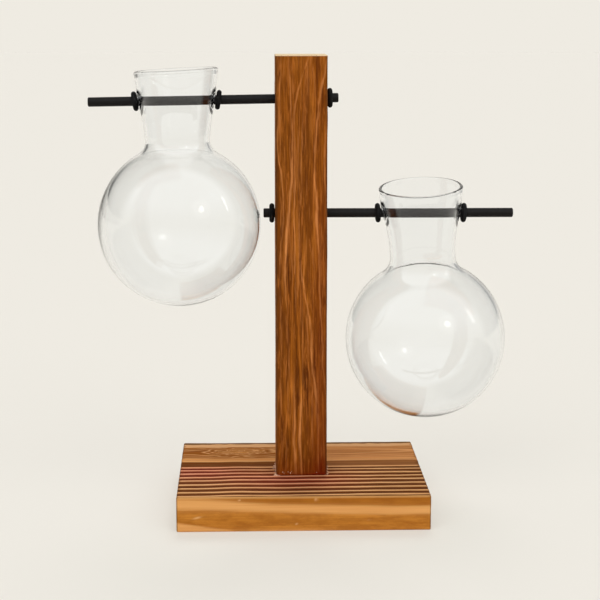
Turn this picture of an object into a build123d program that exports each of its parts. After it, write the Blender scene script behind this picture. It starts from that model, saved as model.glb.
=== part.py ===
from build123d import *

import os
from dataclasses import dataclass
from math import atan2, cos, degrees, radians, sqrt, tan

# A propagation vase: two round glass bulbs that hang from steel rods through a wooden post on a board.
#
# Lengths are millimetres and angles are degrees. +X is to the right and +Z is up, and the front faces -Y.
# The origin is the middle of the board's underside, on the surface that the stand rests on.
#
# Each rod passes through a bore in the post. Its long side is an arm that carries one vase, and its short
# side is a stub held by a rubber ring. The rod also passes through two holes in the vase's neck, with a
# rubber ring against the glass on each side. The upper arm points left and the lower arm points right.

# Board
board_width = 120.0
board_depth = 100.0
board_thickness = 17.0
board_edge_radius = 0.8

# Post
post_side = 25.0
post_height = 204.0
post_forward = 1.5
post_edge_radius = 0.6

# Rods
rod_diameter = 4.5
rod_end_chamfer = 0.35
rod_stub = 5.55
rod_fit = 0.05

# Rubber rings
ring_cord = 2.5
ring_fit = 0.03
ring_gap = 0.25

# Glass
glass_wall = 1.4
glass_hole_play = 0.9
glass_lip = 1.9
rim_round_share = 0.45

# Screws, driven up through the board into the end of the post
screw_diameter = 4.0
screw_core_diameter = 3.0
screw_head_diameter = 7.6
screw_head_angle = 90.0
screw_head_sink = 0.5
screw_length = 38.0
screw_tip = 5.0
screw_spacing = 11.0
screw_clearance = 0.2
recess_width = 1.1
recess_span = 4.2
recess_depth = 1.6

# Glue that squeezed out round the foot of the post
glue_width = 1.6
glue_height = 1.2
glue_slope_share = 0.7

# Every cutter runs past the face that it opens by this much.
overrun = 2.0

# Halving a span this many times finds a place on a curve.
search_rounds = 40

upright = (Align.CENTER, Align.CENTER, Align.MIN)


@dataclass
class Vase:
    """One blown bulb. Drops are measured down the vase's own axis from its rim.

    The neck's side is one curve, upright at the rim and at the throat. Each ease is the share of the drop
    over which the curve keeps near that end's width. The shoulder's hollow has a radius of its own.
    """

    rim_diameter: float
    throat_diameter: float
    shoulder_radius: float
    bulb_diameter: float
    throat_drop: float
    hole_drop: float
    rim_ease_share: float
    throat_ease_share: float


@dataclass
class Arm:
    """One rod with what it carries. Its own frame has the rod along +X, out from the middle of the post.

    The bore's height is a share of the post's, and its play is how much wider it is than the rod. The bulb
    clears the post by its own gap. The vase's lean tips the rim towards the post, and its swing tips the
    rim about the rod, to the front on the lower arm.
    """

    name: str
    turn: float
    bore_height_share: float
    bore_play: float
    rod_length: float
    bulb_gap: float
    vase_lean: float
    vase_swing: float
    ring_tilt: float
    vase: Vase


upper_arm = Arm(
    name="upper",
    turn=180.0,
    bore_height_share=0.898,
    bore_play=0.5,
    rod_length=119.7,
    bulb_gap=7.5,
    vase_lean=0.25,
    vase_swing=0.0,
    ring_tilt=8.4,
    vase=Vase(
        rim_diameter=40.1,
        throat_diameter=31.0,
        shoulder_radius=6.7,
        bulb_diameter=78.8,
        throat_drop=34.2,
        hole_drop=15.2,
        rim_ease_share=0.2,
        throat_ease_share=0.18,
    ),
)
lower_arm = Arm(
    name="lower",
    turn=0.0,
    bore_height_share=0.6275,
    bore_play=0.15,
    rod_length=121.2,
    bulb_gap=6.7,
    vase_lean=3.2,
    vase_swing=7.8,
    ring_tilt=2.6,
    vase=Vase(
        rim_diameter=40.6,
        throat_diameter=31.9,
        shoulder_radius=10.1,
        bulb_diameter=79.0,
        throat_drop=35.2,
        hole_drop=13.3,
        rim_ease_share=0.3,
        throat_ease_share=0.45,
    ),
)
arms = [upper_arm, lower_arm]


# Small shared shapes
def along_x(radius, start, end):
    """A round bar along X."""
    return Pos(start, 0, 0) * Rot(0, 90, 0) * Cylinder(radius, end - start, align=upright)


def bore_place(arm):
    """The middle of an arm's bore, level with its share of the post's height."""
    return Pos(0, -post_forward, board_thickness + arm.bore_height_share * post_height)


def post_block(height, grow=0.0):
    """A square block on the board where the post stands, wider than the post by grow on each side."""
    side = post_side + 2 * grow
    block = Pos(0, -post_forward, board_thickness) * Box(side, side, height, align=upright)
    return fillet(block.edges().filter_by(Axis.Z), post_edge_radius + grow)


# Screws
def screw_places():
    """The screws stand side by side under the post, and both point up from the board's underside."""
    return [Pos(side * screw_spacing / 2, -post_forward, 0) for side in (-1, 1)]


def head_cone(grow=0.0):
    """A countersunk head, widest at the bottom, grown by a clearance all round."""
    rise = (screw_head_diameter - screw_diameter) / 2 / tan(radians(screw_head_angle / 2))
    cone = Cone(screw_head_diameter / 2 + grow, screw_diameter / 2 + grow, rise, align=upright)
    return Pos(0, 0, screw_head_sink) * cone


def screw_core(foot):
    """The threaded part's core and its point, which are also the shape of its pilot hole."""
    end = screw_head_sink + screw_length - screw_tip
    core = Pos(0, 0, foot) * Cylinder(screw_core_diameter / 2, end - foot, align=upright)
    return core + Pos(0, 0, end) * Cone(screw_core_diameter / 2, 0, screw_tip, align=upright)


def make_screw():
    """A wood screw that points up, with a cross recess in its sunk head."""
    shank_length = board_thickness - screw_head_sink
    shank = Pos(0, 0, screw_head_sink) * Cylinder(screw_diameter / 2, shank_length, align=upright)
    slot = Box(recess_span, recess_width, recess_depth, align=upright)
    recess = Pos(0, 0, screw_head_sink) * (slot + Rot(0, 0, 90) * slot)
    return head_cone() + shank + screw_core(board_thickness) - recess


# Stand
def make_board():
    """The board, with its screw holes countersunk from below."""
    board = Box(board_width, board_depth, board_thickness, align=upright)
    board = fillet(board.edges(), board_edge_radius)
    hole = Cylinder(screw_diameter / 2 + screw_clearance, board_thickness + overrun, align=upright)
    entry = Cylinder(screw_head_diameter / 2 + screw_clearance, screw_head_sink, align=upright)
    for place in screw_places():
        board -= place * (hole + entry + head_cone(screw_clearance))
    return board


def make_post():
    """The post, with one bore for each rod and a pilot hole for each screw."""
    post = post_block(post_height)
    post = fillet(post.faces().sort_by(Axis.Z)[-1].edges(), post_edge_radius)
    reach = post_side / 2 + overrun
    for arm in arms:
        post -= bore_place(arm) * along_x((rod_diameter + arm.bore_play) / 2, -reach, reach)
    for place in screw_places():
        post -= place * screw_core(board_thickness)
    return post


def make_glue():
    """The bead round the foot of the post, its top sloped off towards the board."""
    bead = post_block(glue_height, glue_width)
    rim = bead.faces().sort_by(Axis.Z)[-1].edges()
    bead = chamfer(rim, glue_height * glue_slope_share, glue_width * glue_slope_share)
    return bead - post_block(glue_height)


# Rods and rings
def arm_place(arm):
    """The arm's frame in the stand. The arm droops until its rod bears on both ends of the loose bore."""
    droop = degrees(atan2(arm.bore_play - 2 * rod_fit, post_side))
    return bore_place(arm) * Rot(0, 0, arm.turn) * Rot(0, droop, 0)


def make_rod(arm):
    start = -(post_side / 2 + rod_stub)
    rod = along_x(rod_diameter / 2, start, start + arm.rod_length)
    return chamfer(rod.edges().filter_by(GeomType.CIRCLE), rod_end_chamfer)


def make_ring(middle, tilt):
    """A ring at a place on the rod. It leans with the glass, while its hole stays true to the rod."""
    ring = Rot(0, tilt, 0) * Rot(0, 90, 0) * Torus((rod_diameter + ring_cord) / 2, ring_cord / 2)
    hole = along_x(rod_diameter / 2 + ring_fit, -ring_cord, ring_cord)
    return Pos(middle, 0, 0) * (ring - hole)


# Glass
def neck_curve(vase, inset=0.0):
    """The side of the neck in the XZ plane, from the rim down to the throat, moved in by inset."""
    rim = vase.rim_diameter / 2 - inset
    throat = vase.throat_diameter / 2 - inset
    return Bezier(
        (rim, 0, 0),
        (rim, 0, -vase.rim_ease_share * vase.throat_drop),
        (throat, 0, -(1 - vase.throat_ease_share) * vase.throat_drop),
        (throat, 0, -vase.throat_drop),
    )


def vase_solid(vase, inset=0.0):
    """The solid inside a vase's outer face, taken in by inset. Its axis is Z, and its rim is at the origin.

    The shoulder is a hollow arc that leaves the throat upright and runs tangent onto the ball.
    """
    ball = vase.bulb_diameter / 2 - inset
    throat = vase.throat_diameter / 2 - inset
    shoulder = vase.shoulder_radius + inset
    rise = sqrt((ball + shoulder) ** 2 - (throat + shoulder) ** 2)

    shoulder_middle = Vector(throat + shoulder, 0, -vase.throat_drop)
    ball_middle = Vector(0, 0, -vase.throat_drop - rise)
    between = (shoulder_middle - ball_middle).normalized()
    meet = ball_middle + between * ball
    throat_end = Vector(throat, 0, -vase.throat_drop)
    bottom = ball_middle - Vector(0, 0, ball)
    halfway = ((meet + throat_end) * (1 / 2) - shoulder_middle).normalized()
    hollow = ThreePointArc(throat_end, shoulder_middle + halfway * shoulder, meet)
    equator = ball_middle + Vector(ball, 0, 0)
    bulb = ThreePointArc(meet, equator, bottom)
    neck = neck_curve(vase, inset)
    outline = [neck, hollow, bulb, Line(bottom, (0, 0, 0)), Line((0, 0, 0), neck @ 0)]
    return revolve(make_face(outline), Axis.Z)


def hole_places(arm):
    """Where the rod passes through the middle of the neck's wall, in the vase's frame.

    Gives each side's distance from the vase's axis, its height and the wall's outward slope there. The
    vase leans on the rod, so the outer hole is lower in the glass than the inner one.
    """
    curve = neck_curve(arm.vase, glass_wall / 2)
    places = {}
    for side in (-1, 1):
        high, low = 0.0, 1.0
        for _ in range(search_rounds):
            middle = (high + low) / 2
            point = curve @ middle
            rod_height = -arm.vase.hole_drop - side * point.X * tan(radians(arm.vase_lean))
            if point.Z > rod_height:
                high = middle
            else:
                low = middle
        down = curve % middle
        places[side] = (point.X, point.Z, degrees(atan2(-down.X, -down.Z)))
    return places


def wall_tilt(arm, side):
    """How far the glass at a hole leans out from square to the rod."""
    return hole_places(arm)[side][2] - side * arm.vase_lean


def vase_hang(arm):
    """How far the holes' middle lies below the rod's, because the tops of the holes rest on the rod."""
    steepest = max(abs(wall_tilt(arm, side)) for side in (-1, 1))
    lip_middle = rod_diameter + glass_hole_play + glass_lip
    clear_height = lip_middle * cos(radians(steepest)) - glass_lip
    return (clear_height - rod_diameter) / 2 - rod_fit


def vase_reach(arm):
    """How far along the rod a vase's holes lie from the middle of the post."""
    return post_side / 2 + arm.bulb_gap + arm.vase.bulb_diameter / 2


def ring_offset(arm, side):
    """How far along the rod a neck ring lies from the vase's axis, where it just clears the glass."""
    distance, _, _ = hole_places(arm)[side]
    ring_middle = (rod_diameter + ring_cord) / 2
    mismatch = ring_middle * abs(tan(radians(wall_tilt(arm, side) - arm.ring_tilt)))
    along_rod = distance / cos(radians(arm.vase_lean))
    return along_rod + glass_lip / 2 + ring_gap + ring_cord / 2 + mismatch


def make_vase(arm):
    """The vase on its rod, with a thick melted lip round each hole."""
    vase = arm.vase
    mouth = Cylinder(vase.rim_diameter / 2 - glass_wall, overrun, align=upright)
    shell = vase_solid(vase) - (vase_solid(vase, glass_wall) + mouth)
    shell = fillet(shell.faces().sort_by(Axis.Z)[-1].edges(), glass_wall * rim_round_share)
    lip_radius = (rod_diameter + glass_hole_play + glass_lip) / 2
    lip = Rot(0, 90, 0) * Torus(lip_radius, glass_lip / 2)
    pierce = along_x(lip_radius, -glass_lip, glass_lip)
    for side, (distance, height, slope) in hole_places(arm).items():
        wall = Pos(side * distance, 0, height) * Rot(0, side * slope, 0)
        shell = shell - wall * pierce + wall * lip
    hole_line = Pos(0, 0, vase.hole_drop)
    hung = Pos(0, 0, -vase_hang(arm)) * Rot(0, -arm.vase_lean, 0) * hole_line
    return Pos(vase_reach(arm), 0, 0) * Rot(arm.vase_swing, 0, 0) * hung * shell


def make_arm(arm):
    """Every node of one arm, in the stand's frame."""
    stop = -(post_side / 2 + ring_gap + ring_cord / 2)
    inner = vase_reach(arm) - ring_offset(arm, -1)
    outer = vase_reach(arm) + ring_offset(arm, 1)
    nodes = {
        "rod": make_rod(arm),
        "stop_ring": make_ring(stop, 0.0),
        "inner_ring": make_ring(inner, -arm.ring_tilt),
        "outer_ring": make_ring(outer, arm.ring_tilt),
        "vase": make_vase(arm),
    }
    return {f"{arm.name}_{node}": arm_place(arm) * solid for node, solid in nodes.items()}


nodes = {
    "base_board": make_board(),
    "post": make_post(),
    "glue_bead": make_glue(),
    "base_screws": Compound(children=[place * make_screw() for place in screw_places()]),
}
for arm in arms:
    nodes.update(make_arm(arm))
os.makedirs("parts", exist_ok=True)
for node, solid in nodes.items():
    export_step(solid, f"parts/{node}.step")
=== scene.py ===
# %% [markdown]
# # A propagation vase
# Two blown glass bulbs hang from black steel rods, which pass through a wooden post on a board. The CAD
# model already has every piece in its place and at its true size, so it is loaded first and never moved.
# Each piece that needs more than the CAD gives, such as the wood's relief and the glass, is then worked out
# as a surface with numpy and laid exactly where its CAD piece is.

# %% Load the frame
from math import atan2, pi, radians, sqrt

import bmesh
import bpy
import numpy as np
from mathutils import Matrix, Vector


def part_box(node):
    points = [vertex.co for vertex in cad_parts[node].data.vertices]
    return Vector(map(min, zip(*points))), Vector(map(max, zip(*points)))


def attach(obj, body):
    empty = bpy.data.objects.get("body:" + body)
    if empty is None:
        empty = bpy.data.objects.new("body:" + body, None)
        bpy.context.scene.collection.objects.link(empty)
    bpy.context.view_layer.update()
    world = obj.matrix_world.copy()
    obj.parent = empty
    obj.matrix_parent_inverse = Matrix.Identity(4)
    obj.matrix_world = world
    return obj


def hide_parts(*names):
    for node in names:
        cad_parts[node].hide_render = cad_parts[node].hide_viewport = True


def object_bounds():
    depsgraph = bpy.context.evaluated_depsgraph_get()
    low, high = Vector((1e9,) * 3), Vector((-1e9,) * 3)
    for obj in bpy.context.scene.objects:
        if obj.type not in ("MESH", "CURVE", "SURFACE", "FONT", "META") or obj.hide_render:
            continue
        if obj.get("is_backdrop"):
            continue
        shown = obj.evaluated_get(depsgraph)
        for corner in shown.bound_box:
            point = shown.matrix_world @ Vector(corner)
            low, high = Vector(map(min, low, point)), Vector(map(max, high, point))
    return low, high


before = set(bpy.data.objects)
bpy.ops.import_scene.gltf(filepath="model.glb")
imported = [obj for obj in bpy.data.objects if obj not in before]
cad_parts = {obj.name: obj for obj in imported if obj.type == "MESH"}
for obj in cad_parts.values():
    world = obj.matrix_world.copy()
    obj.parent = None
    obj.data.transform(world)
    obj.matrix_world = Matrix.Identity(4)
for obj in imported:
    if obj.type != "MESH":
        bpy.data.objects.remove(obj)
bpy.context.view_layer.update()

print("frame pieces:", ", ".join(sorted(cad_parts)))

# %% [markdown]
# ## Surfaces from numbers
# A surface here is a grid of points: one parameter runs down the rows and the other along the columns. The
# points could be placed one by one, but whole arrays are quicker to work out and to read. Points that land
# on the same place, at a seam or a pole, are merged at the end, so every surface is closed.

# %% Grids and meshes
MILLIMETRE = 0.001
MERGE_REACH = 2e-7
BOX_DIGITS = 3


def grid_faces(rows, columns, wrap=False, loop=False):
    """The four corners of every cell of a grid: a point, its right neighbour, and the two below them.

    A grid that wraps joins its last column to its first, and one that loops joins its last row to its first.
    """
    down, across = rows if loop else rows - 1, columns if wrap else columns - 1
    row, column = np.meshgrid(np.arange(down), np.arange(across), indexing="ij")
    right = (column + 1) % columns
    above, below = row * columns, (row + 1) % rows * columns
    corners = [above + column, above + right, below + right, below + column]
    return np.stack(corners, axis=-1).reshape(-1, 4)


def joined(grids):
    """Several grids as one, from the points and faces of each: its faces count on from the points before."""
    points = [np.reshape(grid, (-1, 3)) for grid, _ in grids]
    starts = np.cumsum([0] + [len(grid) for grid in points])
    faces = [cells + start for (_, cells), start in zip(grids, starts)]
    return np.concatenate(points), np.concatenate(faces)


def make_piece(name, points, faces, place=None):
    """Puts points, in millimetres, and faces into a new object, closed at its seams and facing outwards."""
    at = np.asarray(points, float).reshape(-1, 3) * MILLIMETRE
    mesh = bpy.data.meshes.new(name)
    mesh.from_pydata(at.tolist(), [], np.asarray(faces).tolist())
    if place is not None:
        mesh.transform(place)
    work = bmesh.new()
    work.from_mesh(mesh)
    bmesh.ops.remove_doubles(work, verts=work.verts, dist=MERGE_REACH)
    bmesh.ops.recalc_face_normals(work, faces=work.faces)
    work.to_mesh(mesh)
    work.free()
    mesh.polygons.foreach_set("use_smooth", np.ones(len(mesh.polygons), bool))
    piece = bpy.data.objects.new(name, mesh)
    bpy.context.scene.collection.objects.link(piece)
    print(name, len(mesh.vertices), "points", len(mesh.polygons), "faces")
    return piece


def cad_box(name):
    """The lowest and the highest corner of a CAD piece's box, in millimetres with three decimals."""
    return np.round(np.array([list(corner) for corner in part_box(name)]) / MILLIMETRE, BOX_DIGITS)


def mesh_points(mesh):
    """Every vertex of a mesh, in millimetres, as one array."""
    at = np.empty(len(mesh.vertices) * 3, np.float32)
    mesh.vertices.foreach_get("co", at)
    return at.reshape(-1, 3).astype(float) / MILLIMETRE


# %% [markdown]
# ## Dressing a piece
# A finished piece hides the CAD pieces it stands for, gets what it is made of and is fixed to the body that
# carries it, so that it moves with the joints. The calls are the same for every piece, so one function makes
# them all.

# %% Dressing
def dress(piece, material, slot, body, *nodes):
    """Gives a piece its finish, hides the CAD pieces it stands for, and fixes it to its body."""
    piece.data.materials.clear()
    piece.data.materials.append(material)
    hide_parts(*nodes)
    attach(piece, body)


def finish_node(name, material):
    """Gives a CAD piece that keeps its own shape a new material in every slot."""
    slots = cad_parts[name].material_slots
    for slot in slots:
        slot.material = material
    print(name, "keeps its shape, with", material.name, "in", len(slots), "slot")


# %% [markdown]
# ## A few plain curves
# Nearly every shape and pattern below comes from the same few curves. Written once, with their formulas in
# words, they keep the pieces' own functions short.

# %% Curves
def all_round(count):
    """Evenly spaced turns, once round a circle."""
    return np.linspace(0, 2 * pi, count, endpoint=False)


def circle(turn):
    """Points on a circle of radius 1: the cosine and the sine of each turn."""
    return np.stack([np.cos(turn), np.sin(turn)], axis=-1)


def eased(share):
    """A step from 0 to 1 that starts and ends level: three times the square less twice the cube."""
    share = np.clip(share, 0, 1)
    return share**2 * (3 - 2 * share)


def past(value, start, fade):
    """0 before a start and 1 past its fade, eased between them."""
    return eased((value - start) / fade)


def bell(value, middle, width):
    """1 at the middle and less on both sides: e to the power of minus the squared distance."""
    return np.exp(-(((value - middle) / width) ** 2))


def between(value, places, levels):
    """A level that follows a value through given places, without kinks.

    From one place to the next it is the cubic that meets both levels, with slopes taken from the neighbours.
    """
    places, levels = np.asarray(places, float), np.asarray(levels, float)
    value = np.clip(value, places[0], places[-1])
    number = np.clip(np.searchsorted(places, value, side="right") - 1, 0, len(places) - 2)
    width = places[number + 1] - places[number]
    share = (value - places[number]) / width
    back = share - 1
    slopes = np.gradient(levels, places)
    straight = levels[number] * (1 + 2 * share) * back**2 + levels[number + 1] * share**2 * (3 - 2 * share)
    return straight + width * (slopes[number] * share * back**2 + slopes[number + 1] * share**2 * back)


FIELD_LEVEL = 1.5


def wobble(points, size, lengths, seed, waves=14):
    """A smooth random field of about a given size: sine waves of random direction and start, added up.

    The lengths say how long the waves are along X, Y and Z. The seed makes each field the same on every run.
    """
    dice = np.random.default_rng(seed)
    field = np.zeros(len(points))
    for _ in range(waves):
        pull = dice.normal(size=3) * 2 * pi / np.asarray(lengths)
        field += np.sin(points @ pull + dice.uniform(0, 2 * pi))
    return size * field / sqrt(waves / 2) / FIELD_LEVEL


print("eased halfway", eased(0.5), "bell at its width", round(float(bell(1.0, 0.0, 1.0)), 3))

# %% [markdown]
# ## Materials as sums
# A material's pattern is a sum of waves and noises. Node by node that is hard to read, so a value that comes
# out of a node is wrapped in a small class, and Python's own plus and times add the Math nodes. Everything
# else comes from one method that takes a node's kind, its settings and its inputs.

# %% Values
class Value:
    """What comes out of a node. A sum of it with a number or another value adds a Math node."""

    def __init__(self, recipe, out):
        self.recipe, self.out = recipe, out

    def maths(self, operation, first, second=0.0, clamp=False):
        """One Math node, on one or two numbers or values."""
        return self.recipe.add("Math", {"operation": operation, "use_clamp": clamp}, [first, second])

    def __add__(self, other):
        return self.maths("ADD", self, other)

    def __sub__(self, other):
        return self.maths("SUBTRACT", self, other)

    def __rsub__(self, other):
        return self.maths("SUBTRACT", other, self)

    def __mul__(self, other):
        return self.maths("MULTIPLY", self, other)

    def __truediv__(self, other):
        return self.maths("DIVIDE", self, other)

    def __abs__(self):
        return self.maths("ABSOLUTE", self)

    __radd__, __rmul__ = __add__, __mul__

    def clamped(self):
        """The value, held between 0 and 1."""
        return self.maths("ADD", self, 0.0, clamp=True)

    def from_whole(self):
        """How far a value is from the nearest whole number, from 0 to a half."""
        return 0.5 - abs(self.maths("FRACT", self) - 0.5)


# %% Recipes
MIX_SHARE, MIX_FIRST, MIX_SECOND, MIX_RESULT = 0, 6, 7, 2


class Recipe:
    """The nodes of one material, or of the sky. Its methods add nodes and give back what comes out."""

    def __init__(self, name, store="materials"):
        self.owner = getattr(bpy.data, store).new(name)
        self.owner.use_nodes = True
        self.tree = self.owner.node_tree
        self.tree.nodes.clear()

    def add(self, kind, settings=None, sockets=(), out=0):
        """A node of a kind: its settings first, then a value, a number or a colour for each socket."""
        node = self.tree.nodes.new("ShaderNode" + kind)
        for key, setting in (settings or {}).items():
            if key == "stops":
                self.set_stops(node.color_ramp, setting)
            else:
                setattr(node, key, setting)
        named = sockets.items() if isinstance(sockets, dict) else enumerate(sockets)
        for key, given in named:
            if isinstance(given, Value):
                self.tree.links.new(given.out, node.inputs[key])
            else:
                node.inputs[key].default_value = given
        return Value(self, node.outputs[out])

    def set_stops(self, ramp, stops):
        """A ramp's stops, given as places and colours, or as places and plain levels."""
        while len(ramp.elements) > 1:
            ramp.elements.remove(ramp.elements[-1])
        for number, (place, shade) in enumerate(stops):
            stop = ramp.elements[0] if number == 0 else ramp.elements.new(place)
            stop.position = place
            stop.color = shade if isinstance(shade, tuple) else (shade, shade, shade, 1.0)

    def ramp(self, value, *stops):
        """Colours or levels that follow a value between stops."""
        return self.add("ValToRGB", {"stops": stops}, [value])

    def place(self):
        """Where a point lies on the object, in metres."""
        return self.add("TexCoord", out="Object")

    def attribute(self, name):
        """A number that the mesh carries at every point."""
        return self.add("Attribute", {"attribute_name": name}, out="Fac")

    def ray(self, name):
        """1 for a ray of the named kind and 0 for the others."""
        return self.add("LightPath", out=f"Is {name} Ray")

    def noise(self, per_metre, detail=2.0, roughness=0.5, distortion=0.0):
        """A soft noise between 0 and 1 that changes so many times a metre along X, Y and Z."""
        stretched = self.add("VectorMath", {"operation": "MULTIPLY"}, [self.place(), per_metre])
        sockets = {"Vector": stretched, "Scale": 1.0, "Detail": detail}
        return self.add("TexNoise", sockets={**sockets, "Roughness": roughness, "Distortion": distortion})

    def mix(self, share, first, second):
        """A second colour laid over a first by a share, from 0 to 1.

        The Mix node has sockets of one name for numbers and for colours, so these go by their places.
        """
        sockets = {MIX_SHARE: share, MIX_FIRST: first, MIX_SECOND: second}
        return self.add("Mix", {"data_type": "RGBA"}, sockets, out=MIX_RESULT)

    def wash(self, under, colour, value, *stops):
        """A colour laid over another by a share that follows a value between stops."""
        return self.mix(self.ramp(value, *stops), under, colour)

    def zones(self, under, **layers):
        """Colours laid over a first one, each by its share of the zone that the mesh carries by that name."""
        for name, (share, colour) in layers.items():
            under = self.mix(self.attribute(name) * share, under, colour)
        return under

    def bump(self, height, depth):
        """Fine relief, with its depth in millimetres."""
        return self.add("Bump", sockets={"Strength": 1.0, "Distance": depth * MILLIMETRE, "Height": height})

    def surface(self, colour, roughness, relief, **more):
        """A surface shader from a colour, a roughness and a relief, with any other sockets by name."""
        sockets = {"Base Color": colour, "Roughness": roughness, "Normal": relief}
        named = {key.replace("_", " "): level for key, level in more.items()}
        return self.add("BsdfPrincipled", sockets={**sockets, **named})

    def finish(self, shader, end="OutputMaterial"):
        """Links the shader to the surface, and hands back the material or the sky."""
        end = self.tree.nodes.new("ShaderNode" + end)
        self.tree.links.new(shader.out, end.inputs["Surface"])
        return self.owner

    def coat(self, colour, roughness, relief, **more):
        """A whole finish from one surface shader, as for wood, paint and rubber."""
        return self.finish(self.surface(colour, roughness, relief, **more))


# %% Colours
BRIGHTEST = 255
BLACK_END = 0.04045
BLACK_SLOPE = 12.92
CURVE_LIFT = 0.055
CURVE_POWER = 2.4


def srgb(red, green, blue):
    """A colour from its screen numbers, 0 to 255, as the light that a material works with.

    Screens store a straight line near black, and above it a power of the light, by the sRGB standard.
    """
    shares = [channel / BRIGHTEST for channel in (red, green, blue)]
    curve = [((share + CURVE_LIFT) / (1 + CURVE_LIFT)) ** CURVE_POWER for share in shares]
    light = [share / BLACK_SLOPE if share <= BLACK_END else power for share, power in zip(shares, curve)]
    return (*light, 1.0)


print("mid grey as light", [round(channel, 4) for channel in srgb(128, 128, 128)])

# %% [markdown]
# ## The camera
# It stands where the photograph was taken from: a little above the stand and 0.8 m in front of it, looking
# slightly down. Its place was found by lining up the corners of the board and of the post. The camera and
# the lamps are placed in metres, Blender's own unit, and the pieces below are worked out in millimetres.

# %% Camera
CAMERA_LENS = 99.61
CAMERA_PLACE = (-0.02591, -0.80107, 0.24199)
LOOK_DOWN = 9.918
LOOK_ASIDE = 1.831
CAMERA_REACH = 100.0

lens = bpy.data.cameras.new("camera")
lens.lens = CAMERA_LENS
lens.clip_end = CAMERA_REACH
camera = bpy.data.objects.new("camera", lens)
camera.location = CAMERA_PLACE
camera.rotation_euler = (radians(90 - LOOK_DOWN), 0.0, -radians(LOOK_ASIDE))
bpy.context.scene.collection.objects.link(camera)
bpy.context.scene.camera = camera
print("camera", [round(part, 3) for part in camera.location])

# %% [markdown]
# ## The floor
# The stand is shown on seamless warm white paper. A lit sheet of paper would fall off in brightness towards
# the back, so half of what the camera sees of it is a plain glow of the paper's colour, and the other half
# is real lit paper, which keeps the soft shadow round the board.

# %% Paper
PAPER = srgb(239, 235, 226)
PAPER_RADIUS = 9000.0
PAPER_RINGS = 40
PAPER_SPOKES = 96
GLOW_SHARE = 0.5


def make_paper():
    """A flat disc, whose rings lie as far from the middle as the square of their number says."""
    out = PAPER_RADIUS * np.linspace(0, 1, PAPER_RINGS) ** 2
    points = np.zeros((PAPER_RINGS, PAPER_SPOKES, 3))
    points[..., :2] = out[:, None, None] * circle(all_round(PAPER_SPOKES))
    return make_piece("paper", points, grid_faces(PAPER_RINGS, PAPER_SPOKES, wrap=True)[:, ::-1])


def seen_directly(recipe):
    """1 where the camera looks at a surface straight, in a reflection or through glass, and 0 elsewhere."""
    return (recipe.ray("Camera") + recipe.ray("Glossy") + recipe.ray("Transmission")).clamped()


def paper_material():
    """Lit paper, with a share of glow wherever it is seen."""
    recipe = Recipe("warm_paper")
    lit = recipe.add("BsdfDiffuse", sockets={"Color": PAPER})
    glow = recipe.add("Emission", sockets={"Color": PAPER, "Strength": 1.0})
    share = seen_directly(recipe) * GLOW_SHARE
    return recipe.finish(recipe.add("MixShader", sockets=[share, lit, glow]))


paper = make_paper()
paper.data.materials.append(paper_material())
paper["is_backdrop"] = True

# %% [markdown]
# ## The sky
# Soft studio light comes evenly from all round. Clear glass shows only what it bends and mirrors, so the sky
# that it sees has a plan. In front it goes from the paper's colour at the horizon to a cool white higher up.
# Behind the stand it has the paper's colour, and beside that a surround, dark on the left and grey on the
# right, which draws the thin dark lines along the edges of the glass.

# %% Sky
SKY_LEVEL = 0.42
STUDIO_WHITE = (1.6, 1.64, 1.7, 1.0)
WHITE_HEIGHT = 0.55
LEFT_SURROUND = (0.17, 0.168, 0.16, 1.0)
RIGHT_SURROUND = (0.42, 0.42, 0.41, 1.0)
UP_SHARE = 0.25
PLAIN_WHITE = (1.0, 1.0, 1.0, 1.0)


def make_sky():
    """A plain even light, and the plan above for what is seen.

    How far a direction is off the axis is its sideways part plus a share of its upward part.
    """
    recipe = Recipe("sky", "worlds")
    direction = recipe.add("TexCoord", out="Generated")
    aside, back, up = (recipe.add("SeparateXYZ", sockets=[direction], out=axis) for axis in "XYZ")
    surround = recipe.ramp(aside + 0.5, (0.42, LEFT_SURROUND), (0.58, RIGHT_SURROUND))
    off_axis = abs(aside) + up * UP_SHARE
    behind = recipe.wash(PAPER, surround, off_axis, (0.31, 0.0), (0.52, 1.0))
    ahead = recipe.ramp(up, (0.0, PAPER), (WHITE_HEIGHT, STUDIO_WHITE))
    plan = recipe.wash(ahead, behind, back + 0.5, (0.4, 0.0), (0.6, 1.0))
    seen = seen_directly(recipe)
    shade = recipe.mix(seen, PLAIN_WHITE, recipe.mix(recipe.ray("Camera"), plan, PAPER))
    light = recipe.add("Background", sockets=[shade, seen * (1 - SKY_LEVEL) + SKY_LEVEL])
    bpy.context.scene.world = recipe.finish(light, "OutputWorld")


make_sky()
bpy.context.scene.view_settings.view_transform = "Standard"
print("sky level", SKY_LEVEL, "with", bpy.context.scene.view_settings.view_transform, "view")

# %% [markdown]
# ## The lamps
# Three wide lamps, far off, add a little direction to the even light. Two stand in front, and the third is
# behind and lays the soft shadow in front of the board. With the sky they light level paper at about one, so
# a colour renders as it is written. The glass has lamps of its own: a small one on the right for its glints,
# a wider one in the same place for the halo round them, and a strip for its right edges.

# %% Lamps
# A sun has a name, a place to shine from, a width in degrees and a strength. Each lamp for the glass has a
# name, a place, a shape, its two sizes and a strength, and the last word says if it lights matt things too.
SUNS = [
    ("key_lamp", (-0.42, -0.66, 0.62), 44.0, 0.82),
    ("fill_lamp", (0.5, -0.62, 0.6), 50.0, 0.68),
    ("back_lamp", (0.06, 0.62, 0.78), 30.0, 1.15),
]
GLINT_PLACE = (0.77, -1.2, 0.82)
STRIP_PLACE = (1.62, -0.38, 0.92)
GLASS_LAMPS = [
    ("glint_lamp", GLINT_PLACE, "DISK", (0.22, 0.22), 0.45, True),
    ("halo_lamp", GLINT_PLACE, "DISK", (0.75, 0.75), 0.5, False),
    ("strip_lamp", STRIP_PLACE, "RECTANGLE", (0.12, 0.55), 0.5, False),
]


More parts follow.
